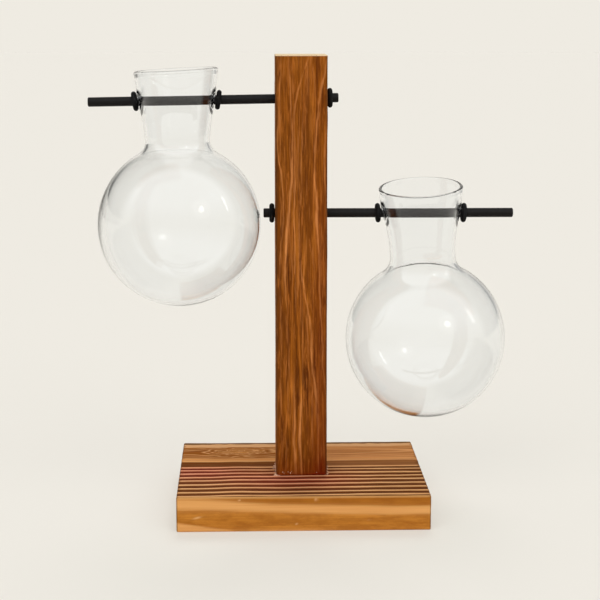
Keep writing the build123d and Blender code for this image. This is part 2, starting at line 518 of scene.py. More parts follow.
def make_lamp(name, kind, place, strength):
    """A lamp that looks at the origin, under the middle of the board, and that the camera doesn't see."""
    light = bpy.data.lights.new(name, kind)
    light.energy = strength
    lamp = bpy.data.objects.new(name, light)
    lamp.location = place
    lamp.rotation_mode = "QUATERNION"
    lamp.rotation_quaternion = (-Vector(place)).to_track_quat("-Z", "Y")
    lamp.visible_camera = False
    bpy.context.scene.collection.objects.link(lamp)
    return lamp


for name, direction, spread, strength in SUNS:
    lamp = make_lamp(name, "SUN", direction, strength)
    lamp.data.angle = radians(spread)
    lamp.visible_glossy = lamp.visible_transmission = False
for name, place, shape, size, strength, lights_matt in GLASS_LAMPS:
    lamp = make_lamp(name, "AREA", place, strength)
    lamp.data.shape = shape
    lamp.data.size, lamp.data.size_y = size
    lamp.visible_diffuse = lights_matt
print("lamps", [name for name, *_ in SUNS + GLASS_LAMPS])

# %% [markdown]
# ## Where each arm lies
# Each rod rests in its bore, and the loose upper bore lets it droop a little. These few lines repeat that
# seating, because the glass is laid out from it: along the rod, down by the play in the glass holes, then
# leaned and swung about the rod. The post's own place is read off the CAD model.
#
# The numbers are millimetres and degrees. An arm points the way of its turn, its rod lies at its rise and
# droops, and the glass sits at its reach along the rod. The rim, the throat and the bulb are diameters, the
# shoulder is the radius of the hollow under the neck, and both drops are measured down from the rim. The
# ease shapes the neck's flare, and the last four numbers say where the wall is thicker and by how much.

# %% Arms
POST_LOW, POST_HIGH = cad_box("post")
POST_FORWARD = -(POST_LOW[1] + POST_HIGH[1]) / 2
ROD_RADIUS = 2.25
ARMS = {
    "upper": dict(
        turn=180.0, rise=200.192, droop=0.9167, reach=59.4, swing=0.0, hang=0.3499, lean=0.25, ring_tilt=8.4,
        rim=40.1, throat=31.0, shoulder=6.7, bulb=78.8, throat_drop=34.2, hole_drop=15.2, ease=(0.2, 0.18),
        rim_slant=2.3, thick_side=0.0, thick_from=0.28, thick_to=0.97, thicker=1.9,
    ),
    "lower": dict(
        turn=0.0, rise=145.01, droop=0.1146, reach=58.7, swing=7.8, hang=0.2859, lean=3.2, ring_tilt=2.6,
        rim=40.6, throat=31.9, shoulder=10.1, bulb=79.0, throat_drop=35.2, hole_drop=13.3, ease=(0.3, 0.45),
        rim_slant=0.0, thick_side=10.0, thick_from=0.2, thick_to=0.9, thicker=0.4,
    ),
}


def moved(x=0.0, y=0.0, z=0.0):
    """A shift, in millimetres."""
    return Matrix.Translation(Vector((x, y, z)) * MILLIMETRE)


def turned(angle, axis):
    """A turn about one of the axes, in degrees."""
    return Matrix.Rotation(radians(angle), 4, axis)


def arm_place(arm):
    """The arm's own frame, with its rod along +X from the middle of the post."""
    return moved(y=-POST_FORWARD, z=arm["rise"]) @ turned(arm["turn"], "Z") @ turned(arm["droop"], "Y")


def vase_place(arm):
    """The vase's own frame, with its axis along Z and the middle of its rim at the origin."""
    on_rod = arm_place(arm) @ moved(x=arm["reach"]) @ turned(arm["swing"], "X")
    return on_rod @ moved(z=-arm["hang"]) @ turned(-arm["lean"], "Y") @ moved(z=arm["hole_drop"])


for name, arm in ARMS.items():
    print(name, "rim middle", [round(part / MILLIMETRE, 2) for part in vase_place(arm).translation])

# %% [markdown]
# ## The glass
# A blown bulb is one skin of glass: down the flared neck, over a hollow shoulder and round a ball. It could
# be spun from a profile and cut with a boolean, but the cuts would be sharp, and these holes were melted
# open, so their edges are thick and round. So the skin is a sheet with a middle surface and a thickness, and
# any place on it is an angle about the vase's axis and a distance down its side.

# %% The profile of a vase
PROFILE_POINTS = 6000


def vase_profile(arm):
    """The outer side as points from the rim to the foot: a cubic curve, a hollow arc and a ball's arc."""
    rim, throat, ball = arm["rim"] / 2, arm["throat"] / 2, arm["bulb"] / 2
    shoulder, drop = arm["shoulder"], arm["throat_drop"]
    keep_top, keep_low = arm["ease"]
    corners = [(rim, 0), (rim, -keep_top * drop), (throat, -(1 - keep_low) * drop), (throat, -drop)]
    share = np.linspace(0, 1, PROFILE_POINTS)[:, None]
    back = 1 - share
    neck = np.hstack([back**3, 3 * share * back**2, 3 * share**2 * back, share**3]) @ np.array(corners)
    rise = sqrt((ball + shoulder) ** 2 - (throat + shoulder) ** 2)
    meet = atan2(rise, throat + shoulder)
    hollow = (throat + shoulder, -drop) + shoulder * circle(np.linspace(pi, pi + meet, PROFILE_POINTS))
    bulb = (0.0, -drop - rise) + ball * circle(np.linspace(meet, -pi / 2, PROFILE_POINTS * 2))
    return np.vstack([neck[:-1], hollow[:-1], bulb])


# %% The skin of a vase
GLASS_WALL = 1.4
LIP = 1.9
HOLE_PLAY = 0.9
LIP_EDGE = ROD_RADIUS + (HOLE_PLAY + LIP) / 2
LIP_FADE = 3.2
RIM_BEAD = 0.35
RIM_BEAD_REACH = 1.6
SLANT_REACH = 14.0
FOOT_START = 0.8
FOOT_THICKENING = 0.3
HOLE_TURNS = {-1: pi, 1: 0.0}


class Skin:
    """A vase's glass as a sheet: a middle surface, its outward direction and its thickness at each place."""

    def __init__(self, arm):
        self.arm = arm
        outer = vase_profile(arm)
        step = np.diff(outer, axis=0)
        self.along = np.concatenate([[0], np.cumsum(np.hypot(*step.T))])
        self.length = self.along[-1]
        slope = np.gradient(outer, self.along, axis=0)
        outward = np.stack([-slope[:, 1], slope[:, 0]], axis=-1)
        self.outward = outward / np.linalg.norm(outward, axis=1)[:, None]
        self.middle = outer - self.outward * GLASS_WALL / 2
        self.holes = {side: self.hole_distance(side) for side in HOLE_TURNS}

    def hole_distance(self, side):
        """How far down the side the rod's line crosses the middle of the glass."""
        lean = np.tan(radians(self.arm["lean"]))
        below = self.middle[:, 1] + self.arm["hole_drop"] + side * self.middle[:, 0] * lean
        return self.along[np.argmax(below < 0)]

    def at(self, angle, down, face):
        """Points on the sheet. Face is 1 on the outside, -1 on the inside and 0 in the middle."""
        radius, height = (np.interp(down, self.along, part) for part in self.middle.T)
        out_r, out_z = (np.interp(down, self.along, part) for part in self.outward.T)
        inner = np.where(face < 0, self.uneven(angle, down), 0.0)
        away = face * (self.thickness(angle, down) / 2 + inner)
        radius = np.maximum(radius + out_r * away, 0.0)
        return self.slanted(radius * np.cos(angle), radius * np.sin(angle), height + out_z * away)

    def uneven(self, angle, down):
        """How much thicker the glass is inwards: a squared sine hump down one side, and a bit at the foot."""
        arm, share = self.arm, down / self.length
        hump = np.clip((share - arm["thick_from"]) / (arm["thick_to"] - arm["thick_from"]), 0, 1)
        side = 0.5 + 0.5 * np.cos(angle - radians(arm["thick_side"]))
        foot = past(share, FOOT_START, 1 - FOOT_START)
        return arm["thicker"] * np.sin(pi * hump) ** 2 * side + FOOT_THICKENING * foot

    def thickness(self, angle, down):
        """The wall, swelling to the lip at each hole and to a slight bead at the rim."""
        extra = RIM_BEAD * bell(down, 0.0, RIM_BEAD_REACH)
        for side, hole in self.holes.items():
            swing = (angle - HOLE_TURNS[side] + pi) % (2 * pi) - pi
            near = np.hypot(swing * self.arm["throat"] / 2, down - hole)
            extra = extra + (LIP - GLASS_WALL) * eased(1 - (near - LIP_EDGE) / LIP_FADE)
        return GLASS_WALL + extra

    def slanted(self, x, y, z):
        """Shears the top of the neck, because a hand-cut rim is seldom square to the axis."""
        z = z - x * np.tan(radians(self.arm["rim_slant"])) * eased(1 + z / SLANT_REACH)
        return np.stack(np.broadcast_arrays(x, y, z), axis=-1)


for name, arm in ARMS.items():
    skin = Skin(arm)
    holes = {side: round(float(down), 2) for side, down in skin.holes.items()}
    print(name, "side", round(skin.length, 2), "holes at", holes)

# %% [markdown]
# ## The grids of a vase
# One grid covers nearly all of the glass: up the outside from the foot, round the rim and down the inside.
# At each hole a square patch of it is left out. A second grid runs from the patch's edge to the hole, round
# its melted lip, and back to the edge on the inside, so the rows bend round the hole as the glass does.

# %% The main grid
AROUND = 176
DOWN = 190
ROW_EVENNESS = 0.72
RIM_STEPS = 9
PATCH_COLUMNS = 13
PATCH_REACH = 8.5


def arch(middle, half, up, steps):
    """A half circle of points: the middle, plus half by the turn's cosine, plus up by its sine."""
    turn = np.linspace(0, pi, steps + 2)[1:-1, None, None]
    return middle + np.cos(turn) * half + np.sin(turn) * up


def vase_rows(skin):
    """Distances down the side for the rows, closer together in the neck than over the ball.

    The first row lies below the rim by half the glass, which is how far the rim's round rises.
    """
    share = np.linspace(0, 1, DOWN)
    first = (GLASS_WALL + RIM_BEAD) / 2
    return first + (skin.length - first) * (ROW_EVENNESS * share + (1 - ROW_EVENNESS) * share**2)


def main_grid(skin):
    """From the foot up the outside, round the rim and down the inside: points, faces and hole edges."""
    angles = np.arange(AROUND) * 2 * pi / AROUND
    rows = vase_rows(skin)
    outside = skin.at(angles[None, :], rows[::-1, None], 1)
    inside = skin.at(angles[None, :], rows[:, None], -1)
    middle = skin.at(angles[None, :], rows[:1, None], 0)
    half = (outside[-1] - inside[0]) / 2
    up = np.array([0, 0, np.linalg.norm(half, axis=-1).mean()])
    points = np.concatenate([outside, arch(middle, half[None], up, RIM_STEPS), inside])
    faces = grid_faces(len(points), AROUND, wrap=True).reshape(-1, AROUND, 4)
    keep = np.ones(faces.shape[:2], bool)
    inner_start = DOWN + RIM_STEPS
    edges = []
    for side, hole in skin.holes.items():
        top, low = (int(np.argmin(abs(rows - (hole + reach)))) for reach in (-PATCH_REACH, PATCH_REACH))
        centre = round(HOLE_TURNS[side] / (2 * pi) * AROUND)
        columns = (centre + np.arange(-PATCH_COLUMNS, PATCH_COLUMNS)) % AROUND
        keep[DOWN - 1 - low:DOWN - 1 - top, columns] = False
        keep[inner_start + top:inner_start + low, columns] = False
        edges.append((side, hole, rows[top:low + 1]))
    return points, faces[keep], edges


# %% The grid round a hole
PATCH_STEPS = 12
PATCH_CROWDING = 0.8
LIP_STEPS = 12


def patch_edge(rows):
    """The patch's edge, once round, as angles and distances down the side: top, right, bottom and left."""
    columns = np.arange(-PATCH_COLUMNS, PATCH_COLUMNS + 1) * 2 * pi / AROUND
    left, right = columns[:1], columns[-1:]
    sides = [(columns, rows[:1]), (right, rows), (columns[::-1], rows[-1:]), (left, rows[::-1])]
    return np.concatenate([np.stack(np.broadcast_arrays(*side), axis=-1)[:-1] for side in sides])


def hole_grid(skin, side, hole, rows):
    """From the patch's edge to the hole on the outside, round the melted lip, and back on the inside.

    The lip is an arch whose way up is square to the glass and to the hole's edge, and points into the hole.
    """
    edge = patch_edge(rows)
    radius = np.interp(hole, skin.along, skin.middle[:, 0])
    flat = np.stack([edge[:, 0] * radius, edge[:, 1] - hole], axis=-1)
    toward = flat / np.linalg.norm(flat, axis=1)[:, None] * LIP_EDGE
    share = np.linspace(0, 1, PATCH_STEPS + 1)[:, None, None] ** PATCH_CROWDING
    spokes = flat * (1 - share) + toward * share
    angle, down = HOLE_TURNS[side] + spokes[..., 0] / radius, hole + spokes[..., 1]
    outside = skin.at(angle, down, 1)
    inside = skin.at(angle, down, -1)[::-1]
    middle = (outside[-1] + inside[0]) / 2
    half = (outside[-1] - inside[0]) / 2
    inward = middle.mean(axis=0) - middle
    up = np.cross(half, np.roll(middle, -1, axis=0) - np.roll(middle, 1, axis=0))
    up *= np.sign((up * inward).sum(axis=1))[:, None] / np.linalg.norm(up, axis=1)[:, None]
    lip = arch(middle, half, up * np.linalg.norm(half, axis=1)[:, None], LIP_STEPS)
    points = np.concatenate([outside, lip, inside])
    return points, grid_faces(len(points), len(edge), wrap=True)


def make_vase(name, arm):
    """Joins the main grid and the two hole grids, and lays the vase on its rod."""
    skin = Skin(arm)
    points, faces, edges = main_grid(skin)
    points, faces = joined([(points, faces)] + [hole_grid(skin, *edge) for edge in edges])
    return make_piece(name, points, faces, vase_place(arm))


# %% [markdown]
# ## The look of the glass
# Clear glass is a shader of its own, and a faint ripple keeps it from looking machined. A full simulation of
# the light that glass gathers would be slow and grainy, so for shadows the glass is a pale clear film.

# %% Glass
GLASS_TINT = (0.98, 0.992, 1.0, 1.0)
SHADOW_TINT = (0.9, 0.92, 0.91, 1.0)
GLASS_RIPPLE = 0.12
GLASS_GLOSS = dict(IOR=1.45, Transmission_Weight=1.0, Specular_IOR_Level=0.4)


def glass_material():
    """Clear glass. Lamps shine through it, so it throws hardly any shadow."""
    recipe = Recipe("clear_blown_glass")
    ripple = recipe.bump(recipe.noise((22.0, 22.0, 9.0), detail=1.0), GLASS_RIPPLE)
    glass = recipe.surface(GLASS_TINT, 0.0, ripple, **GLASS_GLOSS)
    clear = recipe.add("BsdfTransparent", sockets={"Color": SHADOW_TINT})
    return recipe.finish(recipe.add("MixShader", sockets=[recipe.ray("Shadow"), glass, clear]))


glass = glass_material()
for name, arm in ARMS.items():
    vase = make_vase(f"{name}_glass_vase", arm)
    dress(vase, glass, "clear_glass", f"{name}_bulb", f"{name}_vase")
    at = mesh_points(vase.data)
    print("   CAD", cad_box(f"{name}_vase").tolist(), "made", at.min(0).round(2), at.max(0).round(2))

# %% [markdown]
# ## Relief in the wood
# The board and the post are softwood that was torched, brushed and oiled. Brushing wears the soft summer
# wood away between the hard winter lines, so the lines stand proud. One number does both jobs here: the
# count of growth rings at a point. The surface sinks between two whole numbers, where the finish goes dark.

# %% Blocks
EDGE_STEPS = 4


def ridge(rings, width):
    """1 on a growth line and 0 well away from it: a bell over the distance to the nearest whole ring."""
    return bell(0.5 - np.abs(rings % 1 - 0.5), 0.0, width)


def axis_steps(low, high, ease, count):
    """Places along one edge of a block, close together where the edge is eased."""
    first = np.linspace(low, low + ease, EDGE_STEPS)
    last = np.linspace(high - ease, high, EDGE_STEPS)
    return np.concatenate([first, np.linspace(low + ease, high - ease, count)[1:-1], last])


def block_surface(low, high, ease, counts):
    """A block with eased edges as six grids.

    Each point of the sharp block finds the nearest point of a block that is smaller by the edge's radius,
    and goes out from it by that radius. Gives the points, their outward directions and the faces.
    """
    steps = [axis_steps(start, end, ease, count) for start, end, count in zip(low, high, counts)]
    grids = []
    for axis in range(3):
        one, other = (axis + 1) % 3, (axis + 2) % 3
        first, second = np.meshgrid(steps[one], steps[other], indexing="ij")
        for level in (low[axis], high[axis]):
            grid = np.empty((*first.shape, 3))
            grid[..., axis], grid[..., one], grid[..., other] = level, first, second
            grids.append((grid, grid_faces(*first.shape)))
    points, faces = joined(grids)
    inner = np.clip(points, low + ease, high - ease)
    outward = points - inner
    outward /= np.linalg.norm(outward, axis=1)[:, None]
    return inner + outward * ease, outward, faces


# %% Holes and carried numbers
DRILL_SPOKES = 72


def drill(piece, places, profile, axis):
    """Cuts round holes into a piece at given places: a profile of lengths and radii, spun about one axis."""
    along, radius = np.array([(profile[0][0], 0.0), *profile, (profile[-1][0], 0.0)]).T
    tube = np.zeros((len(along), DRILL_SPOKES, 3))
    tube[..., axis] = along[:, None]
    tube[..., [(axis + 1) % 3, (axis + 2) % 3]] = radius[:, None, None] * circle(all_round(DRILL_SPOKES))
    for at in places:
        cutter = make_piece("cutter", tube + at, grid_faces(len(tube), DRILL_SPOKES, wrap=True))
        cut = piece.modifiers.new("hole", "BOOLEAN")
        cut.operation, cut.solver, cut.object = "DIFFERENCE", "MANIFOLD", cutter
        bpy.context.view_layer.update()
        done = bpy.data.meshes.new_from_object(piece.evaluated_get(bpy.context.evaluated_depsgraph_get()))
        piece.modifiers.clear()
        piece.data = done
        bpy.data.objects.remove(cutter)
    print("   drilled", len(places), "holes, now", len(piece.data.vertices), "points")


def carry(piece, **fields):
    """Stores numbers for every point of the mesh, under their names, for the material to read."""
    for name, numbers in fields.items():
        store = piece.data.attributes.new(name, "FLOAT", "POINT")
        store.data.foreach_set("value", np.asarray(numbers, np.float32))


# %% [markdown]
# ## The board
# The board was sawn from near the heart of the log. The heart line runs left to right under its back half,
# so the top shows straight lines in front and a broad curled figure at the back. The front face lies almost
# along one ring, so a single pale band flows across it.

# %% The board's rings
BOARD_LOW, BOARD_HIGH = cad_box("base_board")
BOARD_RIDGE = 0.17
CURL_X, CURL_LENGTH = -31.0, 12.0
CURL_Y, CURL_BREADTH = 31.0, 8.0
HEART_Y = dict(middle=31.0, wave=0.7, length=38.0, start=0.6, curl_rise=1.5)
HEART_Z = dict(middle=8.0, wave=1.2, length=34.0, start=2.0, curl_rise=7.5)
# Waves are given as their size, their lengths along X, Y and Z, and the seed of their dice.
SLOW_WAVES = 0.07, (260, 50, 50), 3
SHORT_WAVES = 0.018, (30, 12, 12), 4
CURLY_WAVES = 0.3, (12, 5, 8), 5
FRONT_WAVES = 0.012, (40, 8, 5), 6
RING_EDGES = (0, 7.5, 15, 21.5, 30.3, 35.5, 41.3, 47.3, 53.0, 59.4, 66.1, 72.6, 78.6, 85, 91, 97, 103)
FRONT_RING = 13
BAND_X = (-60, -40, -20, 0, 20, 45, 60)
BAND_Z = (13.6, 12.9, 11.6, 11.0, 10.4, 10.0, 9.9)
BAND_WIDTH = (3.0, 2.6, 2.2, 2.1, 2.1, 2.1, 2.0)
FRONT_START, FRONT_FADE = 48.9, 0.9


def heart(x, curl, middle, wave, length, start, curl_rise):
    """The heart line's place along the board: a middle, a slow sine wave, and a rise at the curl."""
    return middle + wave * np.sin(x / length + start) + curl_rise * curl


def board_rings(points):
    """The ring count: the distance from the heart line, read off the rings' edges, with slow waves along it.

    The front face's own count is how far a point lies above the pale band's middle.
    """
    x, y, z = points.T
    curl = bell(x, CURL_X, CURL_LENGTH)
    away = np.hypot(y - heart(x, curl, **HEART_Y), z - heart(x, curl, **HEART_Z))
    deep = between(away, RING_EDGES, range(len(RING_EDGES)))
    deep = deep + wobble(points, *SLOW_WAVES) + wobble(points, *SHORT_WAVES)
    deep = deep + curl * wobble(points, *CURLY_WAVES) * bell(y, CURL_Y, CURL_BREADTH)
    middle, width = between(x, BAND_X, BAND_Z), between(x, BAND_X, BAND_WIDTH)
    flow = FRONT_RING + BOARD_RIDGE * (z - middle) / width + wobble(points, *FRONT_WAVES)
    share = past(-y, FRONT_START, FRONT_FADE)
    return deep * (1 - share) + flow * share


# %% The board's finish zones
# A nick has a place along the front face and up it, half its length and height, and its slope.
NICKS = [
    (-50.2, 7.0, 1.7, 0.42, 0.22), (5.8, 15.6, 0.5, 0.8, 0.0), (30.8, 5.2, 0.35, 0.3, 0.0),
    (-3.4, 3.6, 0.4, 0.35, 0.0), (-30.5, 15.4, 0.5, 0.35, 0.0),
]
NICK_FROM = 48.5
# Two soft spots on the top are painted pink: a reddish tint that also stands for a painted purple-red sheen.
PINK_SHEEN_SPOTS = [((-4.0, 30.0), (-22.0, 15.0)), ((-52.0, 26.0), (-6.0, 14.0))]
WEDGE_HEIGHT, WEDGE_SLOPE, WEDGE_FADE = 5.2, 0.15, 1.3
RAGGED_WAVES = 1.0, (9, 9, 9), 10
SAP_WAVES = 0.8, (40, 40, 40), 9
END_SCORCH = 0.6
RAGGED_BACK, RAGGED_END = 0.5, 0.3
# A zone starts at a distance and fades in over another.
ZONE_EDGES = dict(
    top=(16.25, 0.4), worn_height=(15.9, 0.5), worn_front=(48.7, 0.5), right=(2.0, 12.0),
    scorched_back=(46.0, 0.8), scorched_end=(59.1, 0.5), scorched_height=(15.7, 0.6),
    sapwood=(40.6, 0.9), sawn_end=(59.2, 0.4),
)


def zone(name, distance):
    """How far a point lies into a zone, from the distance at which the zone starts and its fade."""
    return past(distance, *ZONE_EDGES[name])


def board_nicks(x, y, z):
    """Pale bruises where the brush or a knock raised a few fibres: one soft oval each, on the front face."""
    total = 0.0
    for at_x, at_z, long, high, slope in NICKS:
        total = total + bell(x, at_x, long) * bell(z - slope * (x - at_x), at_z, high)
    return np.clip(total, 0, 1) * (-y > NICK_FROM)


def board_zones(points):
    """Where each finish lies on the board, from 0 to 1.

    The worn zone is the top's front edge, pale from wear and from a painted highlight, the wedge is a pale
    corner low on the front face, and the scorch lies along the back and the ends with a ragged brink.
    """
    x, y, z = points.T
    ragged = wobble(points, *RAGGED_WAVES)
    scorched_end = END_SCORCH * zone("scorched_end", np.abs(x) - RAGGED_END * ragged)
    brink = np.maximum(zone("scorched_back", y - RAGGED_BACK * ragged), scorched_end)
    wedge = eased((WEDGE_HEIGHT - WEDGE_SLOPE * (x - BOARD_LOW[0]) - z) / WEDGE_FADE)
    pink_tint_and_sheen = sum(bell(x, *spot_x) * bell(y, *spot_y) for spot_x, spot_y in PINK_SHEEN_SPOTS)
    return dict(
        top=zone("top", z),
        worn=zone("worn_height", z) * zone("worn_front", -y),
        nick=board_nicks(x, y, z),
        wedge=wedge * (-y > FRONT_START),
        scorch=brink * zone("scorched_height", z),
        sapwood=zone("sapwood", y - wobble(points, *SAP_WAVES)),
        right=zone("right", x),
        sawn_end=zone("sawn_end", np.abs(x)),
        pink_tint_and_sheen=np.clip(pink_tint_and_sheen, 0, 1),
    )


# %% The board's shape
BOARD_EASE = 0.8
BOARD_COUNTS = (120, 250, 36)
BOARD_RELIEF = 0.3
SIDE_RELIEF = 0.25
BRUSH_EVEN = 0.85
BRUSH_WAVES = 0.15, (30, 3, 3), 8
SCREW_ASIDE = 5.5
SCREW_HOLE = [(-1.0, 4.0), (0.5, 4.0), (2.3, 2.2), (19.0, 2.2)]


def make_board():
    """The eased block, sunk between its growth lines, then drilled for the two screws from below."""
    points, outward, faces = block_surface(BOARD_LOW, BOARD_HIGH, BOARD_EASE, BOARD_COUNTS)
    top, under = np.clip(outward[:, 2], 0, 1), np.clip(-outward[:, 2], 0, 1)
    depth = BOARD_RELIEF * (SIDE_RELIEF + (1 - SIDE_RELIEF) * top) * (1 - under)
    brushed = BRUSH_EVEN + wobble(points, *BRUSH_WAVES)
    sunk = depth * (1 - ridge(board_rings(points), BOARD_RIDGE)) * brushed
    board = make_piece("board", points - outward * np.clip(sunk, 0, BOARD_EASE / 2)[:, None], faces)
    drill(board, [(side * SCREW_ASIDE, -POST_FORWARD, 0.0) for side in (-1, 1)], SCREW_HOLE, axis=2)
    at = mesh_points(board.data)
    carry(board, rings=board_rings(at), **board_zones(at))
    return board


# %% [markdown]
# ## The board's finish
# The torch blackened the soft wood, and oil turned it brown. On the top the finish follows the ring count:
# pale crests between dark gaps in front, and the broad bands of the heart behind. The front face has one
# pale band on gold. The colours were tuned by comparing renders with the photograph, a patch at a time.

# %% Board finish
BROAD_RINGS = 5.0
BOARD_FIBRE = 0.12
GAP = srgb(52, 18, 0), srgb(116, 60, 12)
CREST = srgb(210, 146, 90), srgb(242, 188, 128)
PINK_SHEEN_GAP, PINK_SHEEN_CREST = srgb(108, 24, 8), srgb(230, 146, 116)
HEARTWOOD = [
    (0.0, srgb(192, 128, 66)), (0.2, srgb(144, 80, 22)), (0.36, srgb(150, 86, 26)),
    (0.39, srgb(166, 98, 36)), (0.42, srgb(210, 144, 80)), (0.535, srgb(218, 156, 94)),
    (0.565, srgb(112, 58, 8)), (0.7, srgb(90, 42, 2)), (0.78, srgb(116, 64, 14)),
]
FIGURE, LIGHT_BAND, DARK_FIBRE = srgb(232, 174, 112), srgb(222, 152, 92), srgb(104, 54, 10)
SAPWOOD, WORN_EDGE_HIGHLIGHT, SCORCHED = srgb(222, 168, 116), srgb(218, 160, 94), srgb(84, 52, 22)
OCHRE = srgb(172, 102, 26), srgb(218, 146, 60)
HIGH_OCHRE, MOTTLED_OCHRE = srgb(146, 78, 4), srgb(150, 84, 22)
PALE_BAND = srgb(217, 147, 78), srgb(245, 185, 114)
NICKED, SAWN = srgb(246, 200, 140), srgb(106, 76, 42)


def board_above(recipe, rings, away, fibre):
    """The top: crests and gaps in front, and behind them the heartwood's bands with their fine figure."""
    pink_tint_and_sheen, part = recipe.attribute("pink_tint_and_sheen"), rings / BROAD_RINGS
    # Where the pink spots lie, gaps and crests are tinted red, partly as a painted sheen.
    gap = recipe.mix(pink_tint_and_sheen * 0.7, recipe.mix(fibre, *GAP), PINK_SHEEN_GAP)
    patch = recipe.noise((26.0, 60.0, 60.0), detail=2.0)
    crest = recipe.mix(pink_tint_and_sheen * 0.8, recipe.mix(patch, *CREST), PINK_SHEEN_CREST)
    line = recipe.ramp(away, (0.0, 1.0), (0.09, 0.95), (0.165, 0.42), (0.24, 0.05), (0.5, 0.0))
    figure = recipe.ramp((rings * 4.0).from_whole(), (0.0, 0.8), (0.12, 0.45), (0.26, 0.0))
    figure = figure * recipe.ramp(part, (0.53, 1.0), (0.565, 0.15))
    broad = recipe.mix(figure, recipe.ramp(part, *HEARTWOOD), FIGURE)
    lighter = recipe.attribute("right") * recipe.ramp(part, (0.53, 0.5), (0.56, 0.22))
    broad = recipe.mix(lighter, broad, LIGHT_BAND)
    broad = recipe.wash(broad, DARK_FIBRE, fibre, (0.3, 0.5), (0.6, 0.0))
    above = recipe.wash(broad, recipe.mix(line, gap, crest), part, (0.77, 0.0), (0.785, 1.0))
    return recipe.zones(above, sapwood=(0.85, SAPWOOD))


def board_beside(recipe, rings, away, fibre):
    """The sides: mottled gold, browner above the pale band, with the wedge, the nicks and the sawn ends."""
    high = recipe.ramp(rings - (FRONT_RING - 0.5), (0.4, 0.0), (0.6, 1.0))
    ochre = recipe.mix(high * 0.55, recipe.mix(fibre, *OCHRE), HIGH_OCHRE)
    mottle = recipe.noise((90.0, 400.0, 330.0), detail=4.0, roughness=0.6)
    ochre = recipe.wash(ochre, MOTTLED_OCHRE, mottle, (0.4, 0.5), (0.6, 0.0))
    pale = recipe.mix(fibre, *PALE_BAND)
    flow = recipe.ramp(away, (0.0, 1.0), (0.09, 0.92), (0.15, 0.6), (0.195, 0.22), (0.27, 0.05), (0.5, 0.0))
    beside = recipe.mix(flow, ochre, pale)
    return recipe.zones(beside, wedge=(0.85, pale), nick=(0.65, NICKED), sawn_end=(0.6, SAWN))


def board_material():
    """Torched pine: its top and sides, then the worn front edge with its painted highlight and the scorched
    brink over both.
    """
    recipe = Recipe("torched_board")
    rings = recipe.attribute("rings")
    fibre = recipe.noise((22.0, 1400.0, 1400.0), detail=3.0)
    away = rings.from_whole()
    ragged = recipe.noise((30.0, 700.0, 700.0), detail=3.0, roughness=0.6) - 0.5
    above = board_above(recipe, rings, away + ragged * 0.14, fibre)
    beside = board_beside(recipe, rings, away + ragged * 0.05, fibre)
    colour = recipe.mix(recipe.attribute("top"), beside, above)
    # The worn front edge is paler partly from wear and partly as a painted highlight where the arris catches
    # the light.
    colour = recipe.zones(colour, worn=(0.7, WORN_EDGE_HIGHLIGHT), scorch=(0.85, SCORCHED))
    shine = recipe.ramp(fibre, (0.3, 0.78), (0.7, 0.95))
    return recipe.coat(colour, shine, recipe.bump(fibre, BOARD_FIBRE), Specular_IOR_Level=0.1)


board = make_board()
dress(board, board_material(), "board_wood", "stand", "base_board")

# %% [markdown]
# ## The post
# The post's grain runs upright. Six of its growth lines show on the front, and each wanders as it climbs, so
# each is given as a few places across the face at set heights. The ring count at a point is then how many
# lines lie to its left, and the lines carry on through the wood to the sides with a slant. Each line also
# has a brightness at the same heights, because it fades and comes back.

# %% The post's lines
POST_SLANT = 0.45
POST_SPACING = 4.6
LEAST_GAP = 0.5
PLAIN_LINE = 0.4
LONG_WANDER = 0.3, (18, 18, 40), 11
SHORT_WANDER = 0.14, (8, 8, 9), 12
LINE_HEIGHTS = (17, 40, 68, 95, 122, 150, 177, 195, 221)
LINES = [
    (-10.3, -9.6, -10.5, -9.9, -10.3, -8.6, -11.0, -10.8, -9.2),
    (-7.6, -7.3, -5.9, -6.8, -7.9, -5.8, -4.1, -5.0, -6.2),
    (-3.3, -3.1, -3.4, -3.3, -2.9, -3.5, -3.0, -3.4, 3.2),
    (-0.4, -0.4, 0.5, 0.0, -1.6, -1.9, -1.0, -0.6, 4.6),
    (8.7, 8.0, 5.9, 3.8, -0.7, -0.8, 0.6, 1.2, 7.0),
    (13.0, 12.9, 10.8, 9.6, 8.5, 7.1, 6.3, 8.3, 12.6),
]
FIRST_LINE = 20
BRIGHT = [
    (0.2, 0.1, 0.15, 0.25, 0.2, 0.4, 0.6, 0.4, 0.2),
    (0.3, 0.2, 0.2, 0.1, 0.9, 0.95, 0.6, 0.4, 0.3),
    (0.85, 1.0, 0.15, 0.1, 0.5, 0.6, 0.3, 0.4, 0.3),
    (0.6, 0.9, 0.15, 0.05, 0.1, 0.1, 0.3, 0.1, 0.1),
    (0.4, 0.5, 0.75, 0.6, 0.5, 0.3, 0.4, 0.1, 0.1),
    (0.1, 0.1, 0.4, 0.5, 0.6, 0.9, 0.6, 0.6, 0.5),
]


